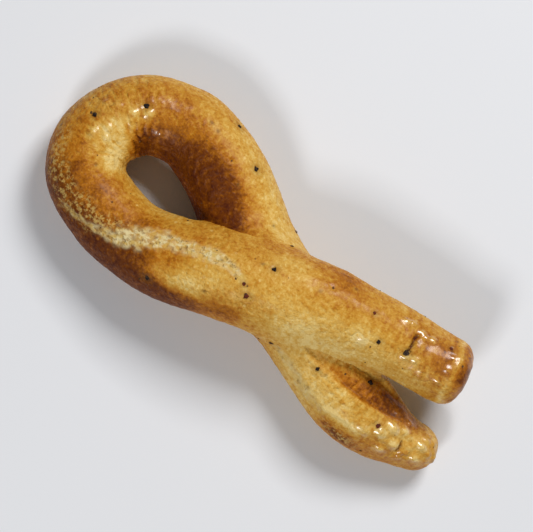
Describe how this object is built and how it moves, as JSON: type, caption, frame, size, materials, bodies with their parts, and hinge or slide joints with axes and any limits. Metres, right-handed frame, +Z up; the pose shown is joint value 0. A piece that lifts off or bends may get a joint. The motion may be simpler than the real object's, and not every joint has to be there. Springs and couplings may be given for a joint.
{
  "type": "tarallo",
  "caption": "Savoury Italian bread snack: a thick crisp bread rope bent into a teardrop loop, its free ends crossed and pressed together, flecked with pepper.",
  "frame": {"origin": "middle of the bread's bounding box, on its flat underside", "axes": "+X from the round loop to the two free ends, along the longest side; +Y across it, towards the side of the upper end; +Z up, away from the baking tray"},
  "size_m": [0.0948, 0.0382, 0.0212],
  "materials": {
    "crust": "satin",
    "pepper": "satin"
  },
  "bodies": {
    "root": {"tarallo": "crust"}
  },
  "joints": []
}
